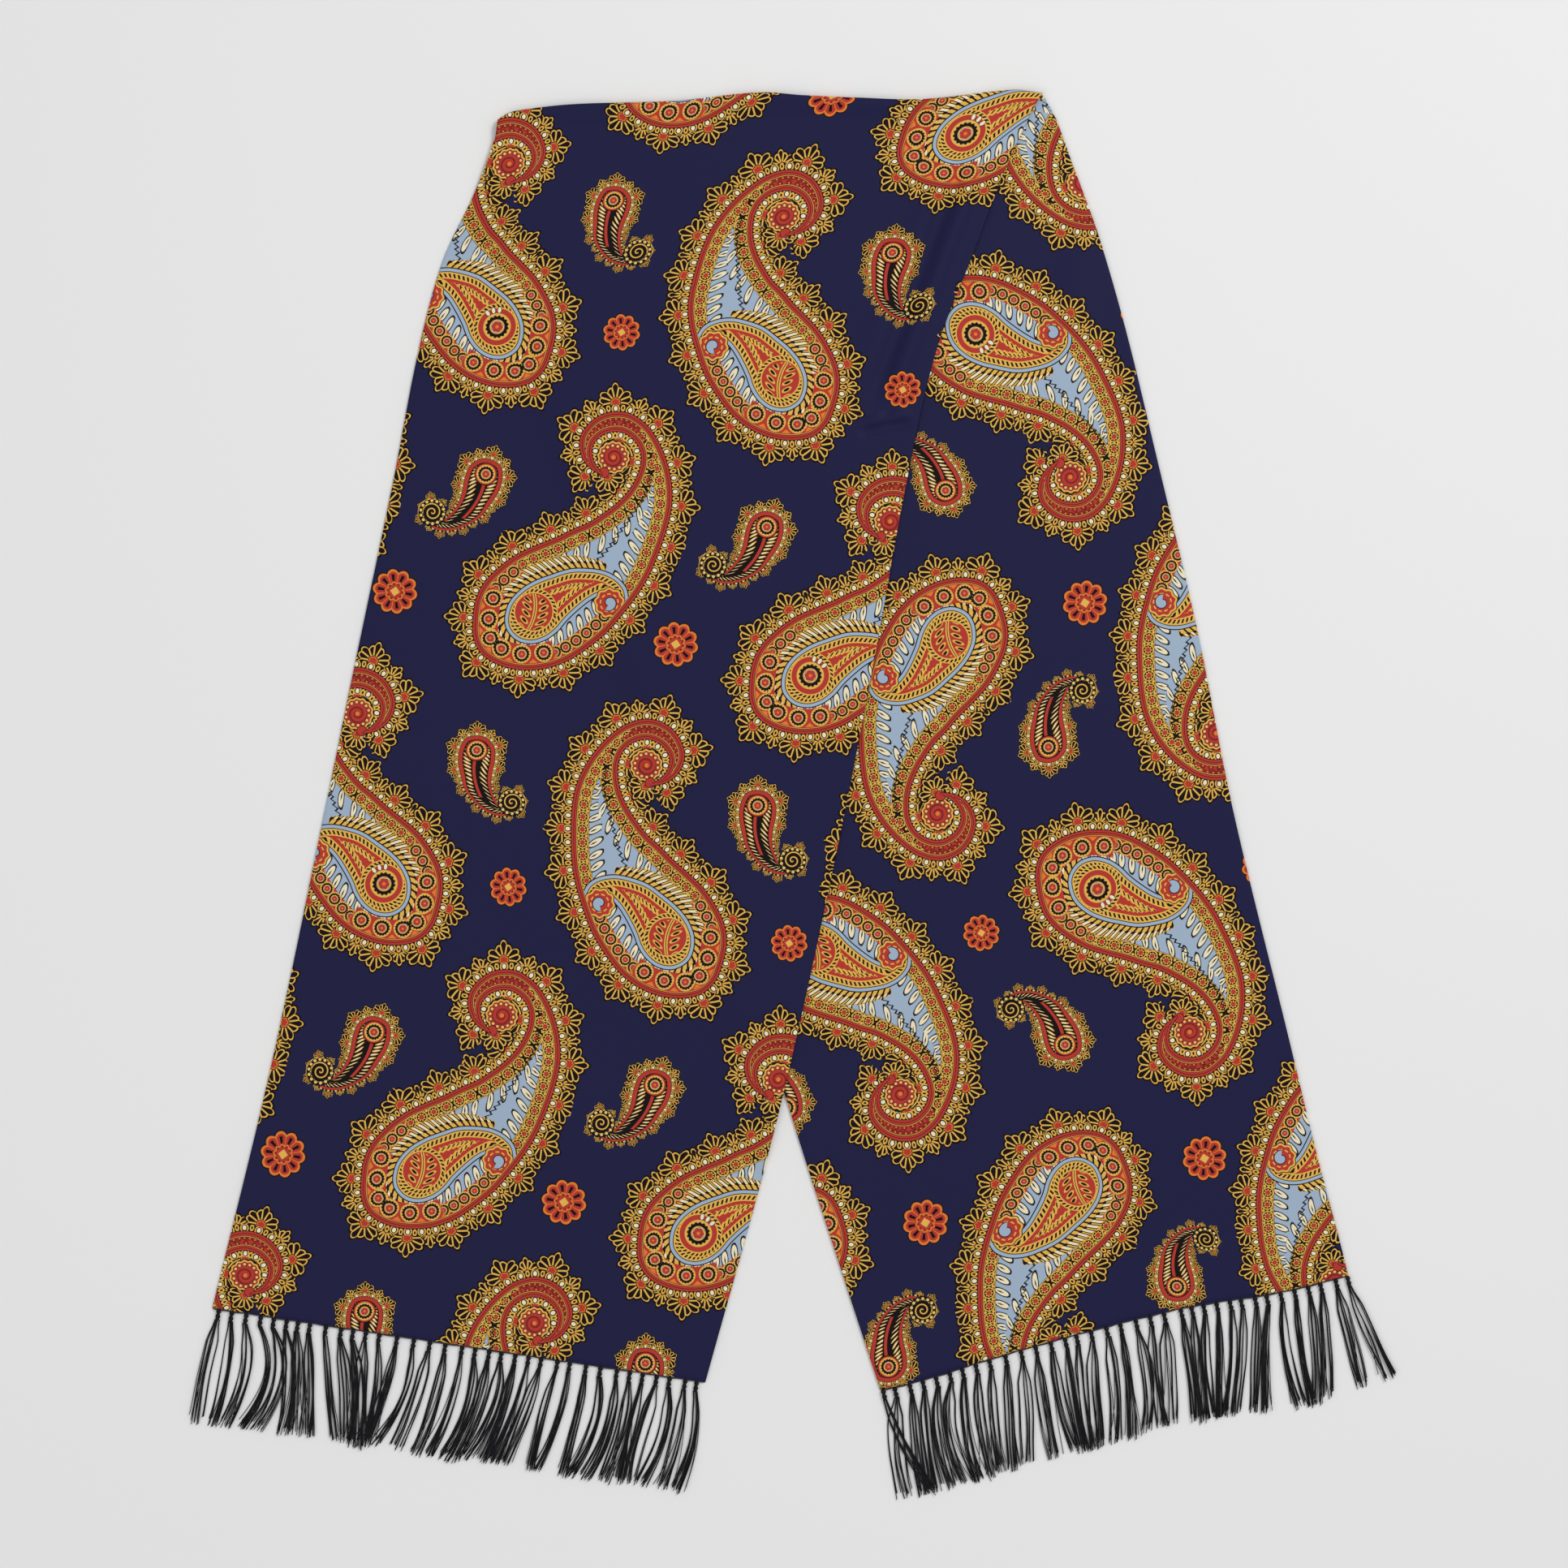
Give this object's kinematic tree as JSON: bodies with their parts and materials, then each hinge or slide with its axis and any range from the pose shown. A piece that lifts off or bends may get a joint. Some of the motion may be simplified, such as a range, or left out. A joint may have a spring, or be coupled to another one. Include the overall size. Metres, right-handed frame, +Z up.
{
  "type": "oblong scarf",
  "caption": "Oblong silk scarf with a paisley print and tasselled hems, folded once across its middle and laid flat with its legs splayed.",
  "frame": {"origin": "middle of the box round the whole scarf, at the surface it lies on", "axes": "+X to the right along the fold, +Y from the hems towards the fold, +Z up from the surface it lies on"},
  "size_m": [0.6561, 0.767, 0.005],
  "materials": {
    "printed_silk": "matt silk twill, navy ground with a gold, red, orange, pale blue and cream paisley print",
    "fringe_thread": "twisted and knotted black silk thread"
  },
  "bodies": {
    "root": {"over_leg": "printed_silk", "under_leg": "printed_silk", "top_fold": "printed_silk", "over_fringe": "fringe_thread", "under_fringe": "fringe_thread"}
  },
  "joints": []
}
